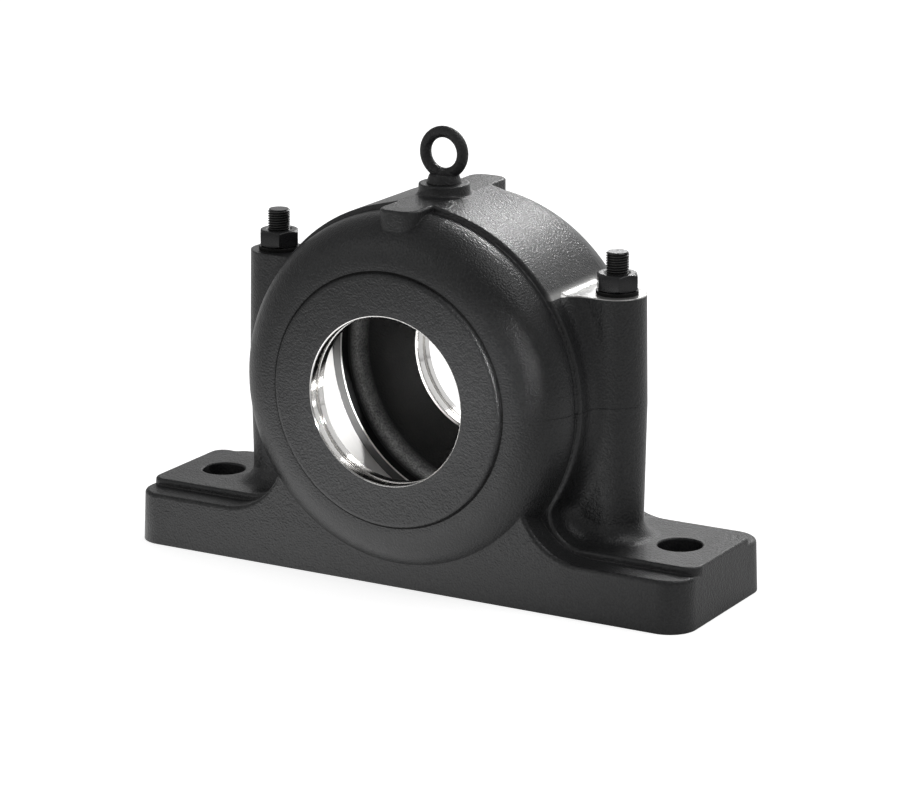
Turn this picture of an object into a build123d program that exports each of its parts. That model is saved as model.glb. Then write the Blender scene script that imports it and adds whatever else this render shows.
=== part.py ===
from build123d import *
import os
from math import acos, atan2, cos, hypot, radians, sin, sqrt, tan

os.makedirs("parts", exist_ok=True)

# Split plummer block: X runs along the foot, Y along the shaft, Z up.
# The origin is the centre of the underside.

# ---- foot and mounting ----
foot_length = 500.0
foot_width = 150.0
foot_corner_radius = 23.0
foot_draft = 1.6
ledge_height = 41.8
pad_rise = 5.7
pad_corner_radius = 12.0
pad_draft = 1.5
mounting_hole_diameter = 35.0
mounting_hole_end_distance = 40.0
mounting_hole_break = 1.0
foot_edge_round = 3.0
pad_edge_round = 2.5

# ---- shaft axis, drum and bearing chamber ----
shaft_height = 155.0
barrel_radius = 147.5
barrel_half_width = 48.0
barrel_edge_round = 2.0
cap_draft = 0.75
shoulder_step = 4.0
shoulder_half_width = 51.0
shoulder_round = 37.7
step_round = 1.5
seal_face_radius = 101.0
seal_face_height = 3.8
seal_face_round = 3.3
shaft_bore_diameter = 134.0
shaft_bore_break = 0.8
end_wall_thickness = 15.0
seal_groove_width = 4.0
seal_groove_depth = 2.5
bearing_seat_diameter = 250.0
bearing_seat_width = 70.0
seat_edge_break = 0.8
chamber_radius = 117.0
chamber_corner_round = 24.0

# ---- flanks that carry the drum on the foot ----
web_sweep_radius = 55.0
web_neck_rise = 26.8
body_sweep_radius = 28.5
body_neck_rise = 25.0
body_corner_round = 16.0

# ---- columns for the cap studs ----
stud_line_offset = 5.5
column_radius = 24.5
column_draft = 1.0
column_inner_reach = 53.0
column_rise = 85.5
column_crown_fillet = 12.0
column_root_fillet = 14.0

# ---- lifting pad and boss on the cap ----
top_pad_half_width = 16.5
top_pad_setback = 10.2
top_pad_corner_radius = 12.0
top_pad_rise = 0.5
top_pad_round = 2.0
boss_rise = 8.0
boss_foot_radius = 21.3
boss_top_radius = 20.0
boss_foot_fillet = 3.0
boss_top_round = 1.0

# ---- studs, washers, nuts and dowels ----
stud_diameter = 18.0
stud_projection = 33.0
stud_engagement = 36.0
stud_end_chamfer = 1.2
stud_cap_hole_diameter = 19.5
washer_diameter = 33.0
washer_hole_diameter = 19.0
washer_thickness = 3.0
washer_edge_break = 0.4
nut_across_flats = 30.0
nut_height = 13.5
nut_face_circle = 28.5
nut_chamfer_angle = 30.0
nut_turn_left = -28.4
nut_turn_right = -27.9
nut_mouth_chamfer = 1.3
dowel_diameter = 8.0
dowel_length = 24.0
dowel_chamfer = 0.8
dowel_inset = 15.5
dowel_y = 40.0
dowel_end_gap = 0.3
thread_clearance = 0.05
dowel_clearance = 0.02

# ---- eye bolt ----
eye_ring_rise = 23.7
eye_ring_radius = 16.6
eye_wire_radius = 4.6
eye_collar_height = 7.0
eye_collar_foot_radius = 13.8
eye_collar_top_radius = 11.8
eye_collar_round = 0.8
eye_neck_radius = 7.0
eye_neck_height = 4.0
eye_shank_diameter = 10.0
eye_shank_length = 20.0
eye_shank_chamfer = 1.0
eye_hole_end_gap = 0.3

shaft_axis = Axis((0, 0, shaft_height), (0, 1, 0))
pad_height = ledge_height + pad_rise
mounting_x = foot_length / 2 - mounting_hole_end_distance
shoulder_radius = barrel_radius - shoulder_step
end_face_y = shoulder_half_width + shoulder_round
seal_face_y = end_face_y + seal_face_height
end_wall_inside = end_face_y - end_wall_thickness
stud_x = barrel_radius + stud_line_offset
column_top = shaft_height + column_rise
stud_top = column_top + stud_projection
dowel_x = barrel_radius - dowel_inset
top_pad_height = shaft_height + barrel_radius + top_pad_rise
top_pad_half_length = end_face_y - top_pad_setback
boss_height = top_pad_height + boss_rise
boss_foot = top_pad_height - top_pad_half_width / 2
eye_ring_height = boss_height + eye_ring_rise


# ---- shared forms ----
def tapered_block(length, width, corner_radius, z_start, z_end, end_draft, side_draft):
    """Rounded block whose walls lean inward from z_start to z_end."""
    rise = abs(z_end - z_start)
    far_length = length - 2 * rise * tan(radians(end_draft))
    far_width = width - 2 * rise * tan(radians(side_draft))
    near = Pos(0, 0, z_start) * RectangleRounded(length, width, corner_radius)
    far = Pos(0, 0, z_end) * RectangleRounded(far_length, far_width, corner_radius)
    return loft([near, far], ruled=True)


def sweep_centre(floor, sweep_radius, round_radius, neck_rise):
    """How far out an arc is centred that rises from a level floor and meets a round at a given rise."""
    below_shaft = shaft_height - floor - neck_rise
    neck_x = sqrt(round_radius**2 - below_shaft**2)
    drop = sweep_radius - neck_rise
    return neck_x + sqrt(sweep_radius**2 - drop**2)


def swept_outline(floor, centre, sweep_radius, top):
    """Front outline of a level floor that sweeps up in an arc towards the drum, then rises plumb to top."""
    reach = foot_length / 2 + 10
    crest = floor + sweep_radius
    neck = centre - sweep_radius
    ground = Polyline((-centre, floor), (-reach, floor), (-reach, 0),
                      (reach, 0), (reach, floor), (centre, floor))
    right = CenterArc((centre, crest), sweep_radius, 180, 90)
    left = CenterArc((-centre, crest), sweep_radius, 270, 90)
    upper = Polyline((neck, crest), (neck, top), (-neck, top), (-neck, crest))
    return make_face(ground.edges() + right.edges() + left.edges() + upper.edges())


def turned(lines, arc=360):
    """Solid of revolution about the shaft axis from half of its outline, mirrored about y = 0."""
    face = make_face([edge for line in lines for edge in line.edges()])
    outline = face + mirror(face, about=Plane.XZ)
    return revolve(Pos(0, 0, shaft_height) * outline, axis=shaft_axis, revolution_arc=arc)


def drum_half(arc):
    """Drum with round shoulders and a raised seal face at each end, without its barrel."""
    round_centre = shoulder_radius - shoulder_round
    seal_rim = seal_face_radius - seal_face_round
    return turned([
        Polyline((0, 0), (0, seal_face_y), (seal_rim, seal_face_y)),
        CenterArc((seal_rim, seal_face_y - seal_face_round), seal_face_round, 0, 90),
        Polyline((seal_face_radius, seal_face_y - seal_face_round),
                 (seal_face_radius, end_face_y), (round_centre, end_face_y)),
        CenterArc((round_centre, shoulder_half_width), shoulder_round, 0, 90),
        Polyline((shoulder_radius, shoulder_half_width), (shoulder_radius, 0), (0, 0)),
    ], arc)


def bearing_core():
    """Everything machined or cored about the shaft axis: seat, chamber, bores and seal grooves."""
    bore = shaft_bore_diameter / 2
    seat = bearing_seat_diameter / 2
    seat_y = bearing_seat_width / 2
    groove_centre = (end_wall_inside + seal_face_y) / 2
    groove_near = groove_centre - seal_groove_width / 2
    groove_far = groove_centre + seal_groove_width / 2
    corner_r = chamber_radius - chamber_corner_round
    corner_y = end_wall_inside - chamber_corner_round
    beyond = seal_face_y + 2
    return turned([
        Polyline((0, 0), (seat, 0), (seat, seat_y), (chamber_radius + seat_edge_break, seat_y),
                 (chamber_radius, seat_y + seat_edge_break), (chamber_radius, corner_y)),
        CenterArc((corner_r, corner_y), chamber_corner_round, 0, 90),
        Polyline((corner_r, end_wall_inside), (bore, end_wall_inside), (bore, groove_near),
                 (bore + seal_groove_depth, groove_near), (bore + seal_groove_depth, groove_far),
                 (bore, groove_far), (bore, seal_face_y - shaft_bore_break),
                 (bore + shaft_bore_break, seal_face_y), (bore + shaft_bore_break, beyond),
                 (0, beyond), (0, 0)),
    ])


def column(z_far):
    """Stud column from the joint plane to z_far, drafted away from the joint."""
    shrink = abs(z_far - shaft_height) * tan(radians(column_draft))

    def plan(radius):
        return Circle(radius) + Pos(-column_inner_reach / 2, 0) * Rectangle(column_inner_reach, 2 * radius)

    near = Pos(stud_x, 0, shaft_height) * plan(column_radius)
    far = Pos(stud_x, 0, z_far) * plan(column_radius - shrink)
    return loft([near, far], ruled=True)


def both_sides(solid):
    return solid + mirror(solid, about=Plane.YZ)


# ---- edge selectors ----
def runs_along_shaft(edge):
    start = edge @ 0
    return all(abs((edge @ step).X - start.X) < 0.01 and abs((edge @ step).Z - start.Z) < 0.01
               for step in (0.5, 1))


def from_shaft(point):
    return hypot(point.X, point.Z - shaft_height)


def on_column_wall(point):
    radius = column_radius - abs(point.Z - shaft_height) * tan(radians(column_draft))
    beyond = max(abs(point.X) - stud_x, 0)
    return abs(hypot(beyond, point.Y) - radius) < 0.05


def column_roots(solid, z_low, z_high):
    """Edges where the columns grow out of a casting, between two levels."""
    def is_root(edge):
        start = edge @ 0
        end = edge @ 1
        on_wall = all(on_column_wall(edge @ step) for step in (0, 0.25, 0.5, 0.75, 1))
        level = abs(start.Z - end.Z) < 0.01
        on_joint = level and abs(start.Z - shaft_height) < 0.01
        upright = hypot(start.X - end.X, start.Y - end.Y) < 3 and abs(start.Z - end.Z) > 60
        inside = z_low < edge.center().Z < z_high
        return on_wall and inside and not on_joint and not upright
    return solid.edges().filter_by(is_root)


# ---- lower casting ----
def foot_and_web():
    """Foot with its ledge, and the web that sweeps up from the ledge to the drum."""
    crest = ledge_height + web_sweep_radius
    centre = sweep_centre(ledge_height, web_sweep_radius, shoulder_radius, web_neck_rise)
    plan = tapered_block(foot_length, foot_width, foot_corner_radius, 0, crest + 20, foot_draft, foot_draft)
    outline = swept_outline(ledge_height, centre, web_sweep_radius, crest + 10)
    solid = plan & extrude(Plane.XZ * outline, foot_width, both=True)

    def is_rim(edge):
        middle = edge.center()
        level = ledge_height - 0.1 < middle.Z < crest - 1
        corner = abs((edge @ 0).Z - (edge @ 1).Z) > 20 and abs(middle.X) > mounting_x
        seam = runs_along_shaft(edge) and abs(middle.X) < mounting_x
        return level and not corner and not seam

    return fillet(solid.edges().filter_by(is_rim), foot_edge_round)


def raised_body():
    """Bolt pads, their sweep up to the drum and the lower half of the barrel, as one drafted body."""
    width = 2 * (barrel_half_width + shaft_height * tan(radians(pad_draft)))
    plan = tapered_block(foot_length, width, pad_corner_radius, 0, shaft_height, foot_draft, pad_draft)
    below_joint = Pos(0, shaft_height / 2) * Rectangle(4 * barrel_radius, shaft_height)
    barrel = (Pos(0, shaft_height) * Circle(barrel_radius)) & below_joint
    centre = sweep_centre(pad_height, body_sweep_radius, barrel_radius, body_neck_rise)
    outline = swept_outline(pad_height, centre, body_sweep_radius, shaft_height) + barrel
    necks = outline.vertices().filter_by(
        lambda v: abs(hypot(v.X, v.Y - shaft_height) - barrel_radius) < 0.01 and v.Y < shaft_height - 1)
    outline = fillet(necks, body_corner_round)
    solid = plan & extrude(Plane.XZ * outline, foot_width, both=True)

    def is_rim(edge):
        middle = edge.center()
        seam = runs_along_shaft(edge) and abs(middle.X) < mounting_x
        return pad_height - 0.1 < middle.Z < shaft_height - 0.1 and not seam

    return fillet(solid.edges().filter_by(is_rim), pad_edge_round)


def housing_base():
    body = foot_and_web() + raised_body() + drum_half(180)
    body = body + both_sides(column(ledge_height - 10))
    body = fillet(column_roots(body, pad_height - 0.1, shaft_height - 1), column_root_fillet)
    body = body - bearing_core()
    body = split(body, bisect_by=Plane.XY, keep=Keep.TOP)
    stud_hole_radius = stud_diameter / 2 + thread_clearance
    stud_hole_middle = shaft_height - stud_engagement / 2
    stud_hole = Pos(stud_x, 0, stud_hole_middle) * Cylinder(stud_hole_radius, stud_engagement)
    body = body - both_sides(stud_hole) - both_sides(mounting_hole())
    return body - dowel_holes(-dowel_length / 2, 0)


def mounting_hole():
    """Cutter for a foot bolt hole, with its rim broken on the pad."""
    radius = mounting_hole_diameter / 2
    rim = radius + mounting_hole_break
    above = pad_height + body_sweep_radius
    outline = make_face(Polyline((0, 0), (radius, 0), (radius, pad_height - mounting_hole_break),
                                 (rim, pad_height), (rim, above), (0, above), (0, 0)).edges())
    return Pos(mounting_x, 0, 0) * revolve(Plane.XZ * outline, axis=Axis.Z)


def dowel_holes(z_low, z_high):
    """Holes for both dowels, between two levels measured from the joint plane."""
    depth = z_high - z_low
    hole = Cylinder(dowel_diameter / 2 + dowel_clearance, depth)
    middle = shaft_height + (z_low + z_high) / 2
    return Pos(dowel_x, -dowel_y, middle) * hole + Pos(-dowel_x, dowel_y, middle) * hole


# ---- upper casting ----
def cap_barrel():
    """Upper half of the barrel with flanks that rise tangent to it and carry the lifting pad."""
    corner = top_pad_height - shaft_height
    reach = hypot(top_pad_half_width, corner)
    angle = atan2(corner, top_pad_half_width) - acos(barrel_radius / reach)
    touch_x = barrel_radius * cos(angle)
    touch_z = shaft_height + barrel_radius * sin(angle)
    above_joint = Pos(0, shaft_height + barrel_radius) * Rectangle(4 * barrel_radius, 2 * barrel_radius)
    barrel = (Pos(0, shaft_height) * Circle(barrel_radius)) & above_joint
    flanks = make_face(Polyline((-touch_x, touch_z), (-top_pad_half_width, top_pad_height),
                                (top_pad_half_width, top_pad_height), (touch_x, touch_z),
                                (0, shaft_height), (-touch_x, touch_z)).edges())
    outline = barrel + flanks
    plan = tapered_block(foot_length, 2 * barrel_half_width, pad_corner_radius, shaft_height,
                         top_pad_height + 1, 0, cap_draft)
    solid = plan & extrude(Plane.XZ * outline, foot_width, both=True)

    def is_rim(edge):
        return edge.center().Z > shaft_height + 0.1 and not runs_along_shaft(edge)

    return fillet(solid.edges().filter_by(is_rim), barrel_edge_round)


def lifting_pad():
    """Pad along the crown that ends in a tab over each shoulder."""
    depth = top_pad_height - shaft_height - seal_face_radius
    plan = RectangleRounded(2 * top_pad_half_width, 2 * top_pad_half_length, top_pad_corner_radius)
    solid = Pos(0, 0, top_pad_height - depth) * extrude(plan, depth)
    return fillet(solid.edges().group_by(Axis.Z)[-1], top_pad_round)


def lifting_boss(body):
    """Round boss on the pad, with its foot blended into the crown."""
    height = boss_height - boss_foot
    boss = Pos(0, 0, boss_foot + height / 2) * Cone(boss_foot_radius, boss_top_radius, height)
    boss = fillet(boss.edges().group_by(Axis.Z)[-1], boss_top_round)
    body = body + boss
    foot = body.edges().filter_by(
        lambda e: boss_foot < e.center().Z < top_pad_height + 0.1
        and boss_top_radius < hypot((e @ 0.5).X, (e @ 0.5).Y) < boss_foot_radius + 0.01)
    return fillet(foot, boss_foot_fillet)


def housing_cap():
    body = cap_barrel() + drum_half(-180)
    steps = body.edges().filter_by(
        lambda e: abs(from_shaft(e @ 0.5) - shoulder_radius) < 0.05 and not runs_along_shaft(e)
        and abs((e @ 0.5).Y) < shoulder_half_width - 1 and e.center().Z > shaft_height + 1)
    body = fillet(steps, step_round)
    body = body + both_sides(column(column_top))
    body = fillet(column_roots(body, shaft_height + 1, column_top - 0.1), column_root_fillet)
    crowns = body.edges().filter_by(
        lambda e: abs(e.center().Z - column_top) < 0.01 and runs_along_shaft(e)
        and abs(from_shaft(e @ 0.5) - barrel_radius) < 0.05)
    body = fillet(crowns, column_crown_fillet)
    body = lifting_boss(body + lifting_pad()) - bearing_core()
    hole_length = column_top - shaft_height
    hole_middle = shaft_height + hole_length / 2
    stud_hole = Pos(stud_x, 0, hole_middle) * Cylinder(stud_cap_hole_diameter / 2, hole_length)
    eye_depth = eye_shank_length + eye_hole_end_gap
    eye_radius = eye_shank_diameter / 2 + thread_clearance
    eye_hole = Pos(0, 0, boss_height - eye_depth / 2) * Cylinder(eye_radius, eye_depth)
    body = body - both_sides(stud_hole) - eye_hole
    return body - dowel_holes(0, dowel_length / 2 + dowel_end_gap)


# ---- fasteners ----
def cap_stud():
    length = stud_top - shaft_height + stud_engagement
    rod = Pos(stud_x, 0, stud_top - length / 2) * Cylinder(stud_diameter / 2, length)
    return chamfer(rod.edges().filter_by(GeomType.CIRCLE), stud_end_chamfer)


def cap_washer():
    blank = Cylinder(washer_diameter / 2, washer_thickness)
    ring = blank - Cylinder(washer_hole_diameter / 2, washer_thickness)
    ring = Pos(stud_x, 0, column_top + washer_thickness / 2) * ring
    rims = ring.edges().filter_by(
        lambda e: e.geom_type == GeomType.CIRCLE and abs(e.radius - washer_diameter / 2) < 0.01)
    return chamfer(rims, washer_edge_break)


def cap_nut(turn):
    """Hexagon nut, chamfered at both ends, with its hole centred on the stud line."""
    face_radius = nut_face_circle / 2
    corner_radius = nut_across_flats / sqrt(3) + 0.1
    slope = (corner_radius - face_radius) * tan(radians(nut_chamfer_angle))
    hexagon = RegularPolygon(nut_across_flats / 2, 6, major_radius=False, rotation=turn)
    prism = extrude(hexagon, nut_height)
    outline = make_face(Polyline((0, 0), (face_radius, 0), (corner_radius, slope),
                                 (corner_radius, nut_height - slope), (face_radius, nut_height),
                                 (0, nut_height), (0, 0)).edges())
    blank = prism & revolve(Plane.XZ * outline, axis=Axis.Z)
    hole_radius = stud_diameter / 2 + thread_clearance
    nut = blank - Pos(0, 0, nut_height / 2) * Cylinder(hole_radius, nut_height)
    mouths = nut.edges().filter_by(
        lambda e: e.geom_type == GeomType.CIRCLE and abs(e.radius - hole_radius) < 0.01)
    nut = chamfer(mouths, nut_mouth_chamfer)
    return Pos(0, 0, column_top + washer_thickness) * nut


def dowel_pin():
    pin = Cylinder(dowel_diameter / 2, dowel_length)
    pin = chamfer(pin.edges().filter_by(GeomType.CIRCLE), dowel_chamfer)
    return Pos(0, 0, shaft_height) * pin


def eye_bolt():
    """Ring, collar and shank of the lifting eye, forged as one."""
    seat = boss_height
    shoulder = seat + eye_collar_height
    neck_top = shoulder + eye_neck_height
    lines = [
        Polyline((0, seat), (eye_collar_foot_radius, seat), (eye_collar_top_radius, shoulder),
                 (eye_neck_radius, shoulder)),
        RadiusArc((eye_neck_radius, shoulder), (eye_wire_radius, neck_top), -eye_neck_height * 1.2),
        Polyline((eye_wire_radius, neck_top), (0, neck_top), (0, seat)),
    ]
    outline = make_face([edge for line in lines for edge in line.edges()])
    rim = outline.vertices().filter_by(lambda v: abs(v.X - eye_collar_top_radius) < 0.01)
    outline = fillet(rim, eye_collar_round)
    collar = revolve(Plane.XZ * outline, axis=Axis.Z)
    ring = Pos(0, 0, eye_ring_height) * Rot(90, 0, 0) * Torus(eye_ring_radius, eye_wire_radius)
    shank = Cylinder(eye_shank_diameter / 2, eye_shank_length)
    shank = chamfer(shank.edges().group_by(Axis.Z)[0], eye_shank_chamfer)
    return collar + ring + Pos(0, 0, seat - eye_shank_length / 2) * shank


stud = cap_stud()
washer = cap_washer()
pin = dowel_pin()
to_right = Pos(stud_x, 0, 0)
to_left = Pos(-stud_x, 0, 0)

parts = {
    "housing_base": housing_base(),
    "housing_cap": housing_cap(),
    "cap_stud_right": stud,
    "cap_stud_left": mirror(stud, about=Plane.YZ),
    "cap_washer_right": washer,
    "cap_washer_left": mirror(washer, about=Plane.YZ),
    "cap_nut_right": to_right * cap_nut(nut_turn_right),
    "cap_nut_left": to_left * cap_nut(nut_turn_left),
    "dowel_pin_right": Pos(dowel_x, -dowel_y, 0) * pin,
    "dowel_pin_left": Pos(-dowel_x, dowel_y, 0) * pin,
    "eye_bolt": eye_bolt(),
}

for name, solid in parts.items():
    solid.label = name
    export_step(solid, f"parts/{name}.step")
    print(name, round(solid.volume / 1000, 1), "cm3")
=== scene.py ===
# %% [markdown]
# # A split plummer block, finished in Blender
# A plummer block is the cast-iron pillow that carries a shaft bearing. It is split along the
# shaft's centre line, so a lower housing and a cap are held together by two long studs. This
# lesson dresses them: paint on sand-cast iron, bright machined bores, and fasteners with a
# real thread.

# %% Load the housing
import math
import bmesh
import bpy
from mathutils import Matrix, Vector


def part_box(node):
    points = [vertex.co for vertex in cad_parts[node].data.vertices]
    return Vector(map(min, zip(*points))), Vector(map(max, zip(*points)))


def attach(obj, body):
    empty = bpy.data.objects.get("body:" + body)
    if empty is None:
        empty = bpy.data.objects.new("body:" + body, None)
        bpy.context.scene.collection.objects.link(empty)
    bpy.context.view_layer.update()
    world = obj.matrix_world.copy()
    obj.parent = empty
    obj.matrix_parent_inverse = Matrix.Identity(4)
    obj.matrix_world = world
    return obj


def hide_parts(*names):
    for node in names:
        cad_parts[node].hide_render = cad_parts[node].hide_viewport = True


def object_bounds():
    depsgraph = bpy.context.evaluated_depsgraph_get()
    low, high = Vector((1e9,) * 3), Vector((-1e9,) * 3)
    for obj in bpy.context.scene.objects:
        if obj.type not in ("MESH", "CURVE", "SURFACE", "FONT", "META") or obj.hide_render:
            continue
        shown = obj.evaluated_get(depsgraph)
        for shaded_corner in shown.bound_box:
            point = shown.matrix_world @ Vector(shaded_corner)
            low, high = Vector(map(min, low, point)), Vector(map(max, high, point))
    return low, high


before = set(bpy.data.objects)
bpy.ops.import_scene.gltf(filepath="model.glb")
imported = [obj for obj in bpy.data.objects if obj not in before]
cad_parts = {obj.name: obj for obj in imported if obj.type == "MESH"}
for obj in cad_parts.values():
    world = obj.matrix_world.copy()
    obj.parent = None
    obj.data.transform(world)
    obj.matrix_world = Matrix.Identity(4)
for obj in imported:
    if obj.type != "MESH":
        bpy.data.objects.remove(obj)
cad_low, cad_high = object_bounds()
print("housing, metres:", [round(high - low, 4) for low, high in zip(cad_low, cad_high)])

# %% [markdown]
# ## Where the main lines are
# Every piece below is placed from the housing's own boxes. The shaft runs along Y at the height
# of the joint between the lower housing and the cap. The studs stand at the middle of their
# washers.

# %% Shaft line and stud lines
base_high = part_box("housing_base")[1]
cap_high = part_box("housing_cap")[1]
washer_low, washer_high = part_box("cap_washer_right")
shaft_height = base_high.z
stud_x = (washer_low.x + washer_high.x) / 2
column_top = washer_low.z
print("shaft line at", round(shaft_height, 4), "stud lines at", round(stud_x, 4))

# %% [markdown]
# ## The camera
# A long lens, three times the length of a normal one, keeps the foot's edges nearly parallel, as
# in a catalogue picture. The camera stands three metres away, thirty degrees to the right of the
# shaft and fifteen degrees above it, and looks at a point a little below the shaft.

# %% Set up the camera
camera_turn = math.radians(29.83)
camera_rise = math.radians(15.3)
camera_distance = 2.9755
aim_beside_shaft = 0.0053
aim_below_shaft = 0.0195
look_at = Vector((aim_beside_shaft, 0.0, shaft_height - aim_below_shaft))
towards_camera = Vector((
    math.sin(camera_turn) * math.cos(camera_rise),
    -math.cos(camera_turn) * math.cos(camera_rise),
    math.sin(camera_rise),
))
camera_data = bpy.data.cameras.new("catalogue_camera")
camera_data.lens = 150.2
camera_data.sensor_width = 36
camera_data.clip_end = 50
camera = bpy.data.objects.new("catalogue_camera", camera_data)
camera.location = look_at + towards_camera * camera_distance
camera.rotation_euler = (-towards_camera).to_track_quat("-Z", "Y").to_euler()
bpy.context.scene.collection.objects.link(camera)
bpy.context.scene.camera = camera
print("camera at", [round(value, 3) for value in camera.location])

# %% [markdown]
# ## Nodes as a recipe
# The world, the floor and every finish are networks of shader nodes. Each helper below adds one
# node to a network and gives back its result, so that a network reads like a recipe. A value
# that goes in is either a plain number or colour, or another node's result.


# %% Helpers for shader nodes
def plug(tree, value, socket):
    """Puts a number or a colour in a socket, or links another node's result to it."""
    if isinstance(value, (int, float, tuple)):
        socket.default_value = value
    else:
        tree.links.new(value, socket)


def math_node(tree, operation, first, second=None, clamp=False):
    """One math node; each input is a socket or a number."""
    node = tree.nodes.new("ShaderNodeMath")
    node.operation = operation
    node.use_clamp = clamp
    plug(tree, first, node.inputs[0])
    if second is not None:
        plug(tree, second, node.inputs[1])
    return node.outputs[0]


def split_place(tree, place):
    """The sockets X, Y and Z of a place."""
    node = tree.nodes.new("ShaderNodeSeparateXYZ")
    tree.links.new(place, node.inputs["Vector"])
    return node.outputs


def soft_ramp(tree, value, start, stop, low, high):
    """Goes smoothly from low to high while a value goes from start to stop."""
    node = tree.nodes.new("ShaderNodeMapRange")
    node.interpolation_type = "SMOOTHSTEP"
    node.inputs["From Min"].default_value = start
    node.inputs["From Max"].default_value = stop
    node.inputs["To Min"].default_value = low
    node.inputs["To Max"].default_value = high
    tree.links.new(value, node.inputs["Value"])
    return node.outputs["Result"]


# %% Helpers for mixing
def blend(tree, factor, first, second, data_type, socket_type):
    """Mixes two inputs of one kind by a mask."""
    node = tree.nodes.new("ShaderNodeMix")
    node.data_type = data_type
    tree.links.new(factor, node.inputs["Factor"])
    for label, value in (("A", first), ("B", second)):
        sockets = [s for s in node.inputs if s.name == label and s.type == socket_type]
        plug(tree, value, sockets[0])
    return [s for s in node.outputs if s.type == socket_type][0]


def blend_colour(tree, factor, first, second):
    """Mixes two colours, each a socket or a tuple, by a mask."""
    return blend(tree, factor, first, second, "RGBA", "RGBA")


def blend_value(tree, factor, first, second):
    """Mixes two values, each a socket or a number, by a mask."""
    return blend(tree, factor, first, second, "FLOAT", "VALUE")


# %% [markdown]
# ## The studio
# A catalogue picture has a white surround. The camera sees a white world. Shiny surfaces see it
# too: white straight behind the block, where the camera looks, and greyer to the sides and in
# front, so that each curve of the black paint shows its own edge. The soft light that falls on
# the object is dimmer than the white that the camera sees.

# %% White world
bpy.context.scene.view_settings.view_transform = "Standard"
backdrop_starts = 0.6
backdrop_full = 1.0
side_sheen = 0.24
backdrop_sheen = 1.0
soft_light = 0.45
world = bpy.data.worlds.new("white_studio")
bpy.context.scene.world = world
world.use_nodes = True
tree = world.node_tree
tree.nodes.clear()
rays = tree.nodes.new("ShaderNodeLightPath").outputs
seen = math_node(tree, "MAXIMUM", rays["Is Camera Ray"], rays["Is Transmission Ray"])
direction = tree.nodes.new("ShaderNodeTexCoord").outputs["Generated"]
away = split_place(tree, direction)["Y"]
backdrop = soft_ramp(tree, away, backdrop_starts, backdrop_full, side_sheen, backdrop_sheen)
shiny = blend_value(tree, rays["Is Glossy Ray"], soft_light, backdrop)
background = tree.nodes.new("ShaderNodeBackground")
background.inputs["Color"].default_value = (1, 1, 1, 1)
tree.links.new(math_node(tree, "MAXIMUM", seen, shiny), background.inputs["Strength"])
world_out = tree.nodes.new("ShaderNodeOutputWorld")
tree.links.new(background.outputs["Background"], world_out.inputs["Surface"])
print("world:", world.name)

# %% [markdown]
# The floor is a pale plane that is white to the camera, except where the block's shadow falls.
# Gloss finds two more things on it: a faint glow to the left and a brighter patch in front, as a
# studio floor has where its lamps stand. They put a soft sheen on the front of the drum and the
# foot without any more light on the block.


# %% Helper for materials
def new_material(name):
    """A material with a Principled shader and the piece's own coordinates."""
    material = bpy.data.materials.new(name)
    material.use_nodes = True
    tree = material.node_tree
    tree.nodes.clear()
    shader = tree.nodes.new("ShaderNodeBsdfPrincipled")
    out = tree.nodes.new("ShaderNodeOutputMaterial")
    tree.links.new(shader.outputs["BSDF"], out.inputs["Surface"])
    place = tree.nodes.new("ShaderNodeTexCoord")
    return material, tree, shader, place.outputs["Object"]


# %% Glow of the floor
left_glow = 0.22
left_glow_starts = 0.4
left_glow_full = -0.2
patch_glow = 1.9
patch_middle = (-0.12, -0.28, 0.0)
patch_edge = 0.42
patch_core = 0.06
floor_level = 0.70
pale_floor, tree, shader, place = new_material("pale_floor")
rays = tree.nodes.new("ShaderNodeLightPath").outputs
sideways = split_place(tree, place)["X"]
glow = soft_ramp(tree, sideways, left_glow_starts, left_glow_full, 0.0, left_glow)
from_patch = tree.nodes.new("ShaderNodeVectorMath")
from_patch.operation = "DISTANCE"
plug(tree, place, from_patch.inputs[0])
plug(tree, patch_middle, from_patch.inputs[1])
patch = soft_ramp(tree, from_patch.outputs["Value"], patch_edge, patch_core, 0.0, patch_glow)
glow = math_node(tree, "ADD", glow, patch)
glow = math_node(tree, "MULTIPLY", rays["Is Glossy Ray"], glow)
glow = math_node(tree, "MAXIMUM", rays["Is Camera Ray"], glow)
glow = math_node(tree, "MULTIPLY", glow, floor_level)
shader.inputs["Base Color"].default_value = (0.8, 0.8, 0.8, 1)
shader.inputs["Roughness"].default_value = 0.9
shader.inputs["Specular IOR Level"].default_value = 0.0
shader.inputs["Emission Color"].default_value = (1, 1, 1, 1)
tree.links.new(glow, shader.inputs["Emission Strength"])
print("material:", pale_floor.name)

# %% Pale floor
floor_size = 12
floor_gap = 0.0002
bpy.ops.object.select_all(action="DESELECT")
bpy.ops.mesh.primitive_plane_add(size=floor_size, location=(0, 0, cad_low.z - floor_gap))
floor = bpy.context.object
floor.name = "studio_floor"
floor.data.materials.append(pale_floor)
print("floor:", floor.name, floor_size, "metres wide")

# %% [markdown]
# ## Lamps
# Three large soft boxes give the even light: one behind, which the top of the drum mirrors as a
# broad sheen, one above and one in front. A small card behind the left puts a gleam on the column
# tops. Two spots are narrow, as lamps behind a cone of card are: one shines through the shaft
# bore on to the bearing seat, and one makes the sheen on the drum peak near its front edge. The
# narrow cone keeps each of them off the rest of the block.


# %% Helpers for lamps
def hang_lamp(name, data, place, target):
    """Puts a lamp at a place and turns it to its target."""
    lamp = bpy.data.objects.new(name, data)
    lamp.location = place
    aim = Vector(target) - lamp.location
    lamp.rotation_euler = aim.to_track_quat("-Z", "Y").to_euler()
    bpy.context.scene.collection.objects.link(lamp)
    return lamp


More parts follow.
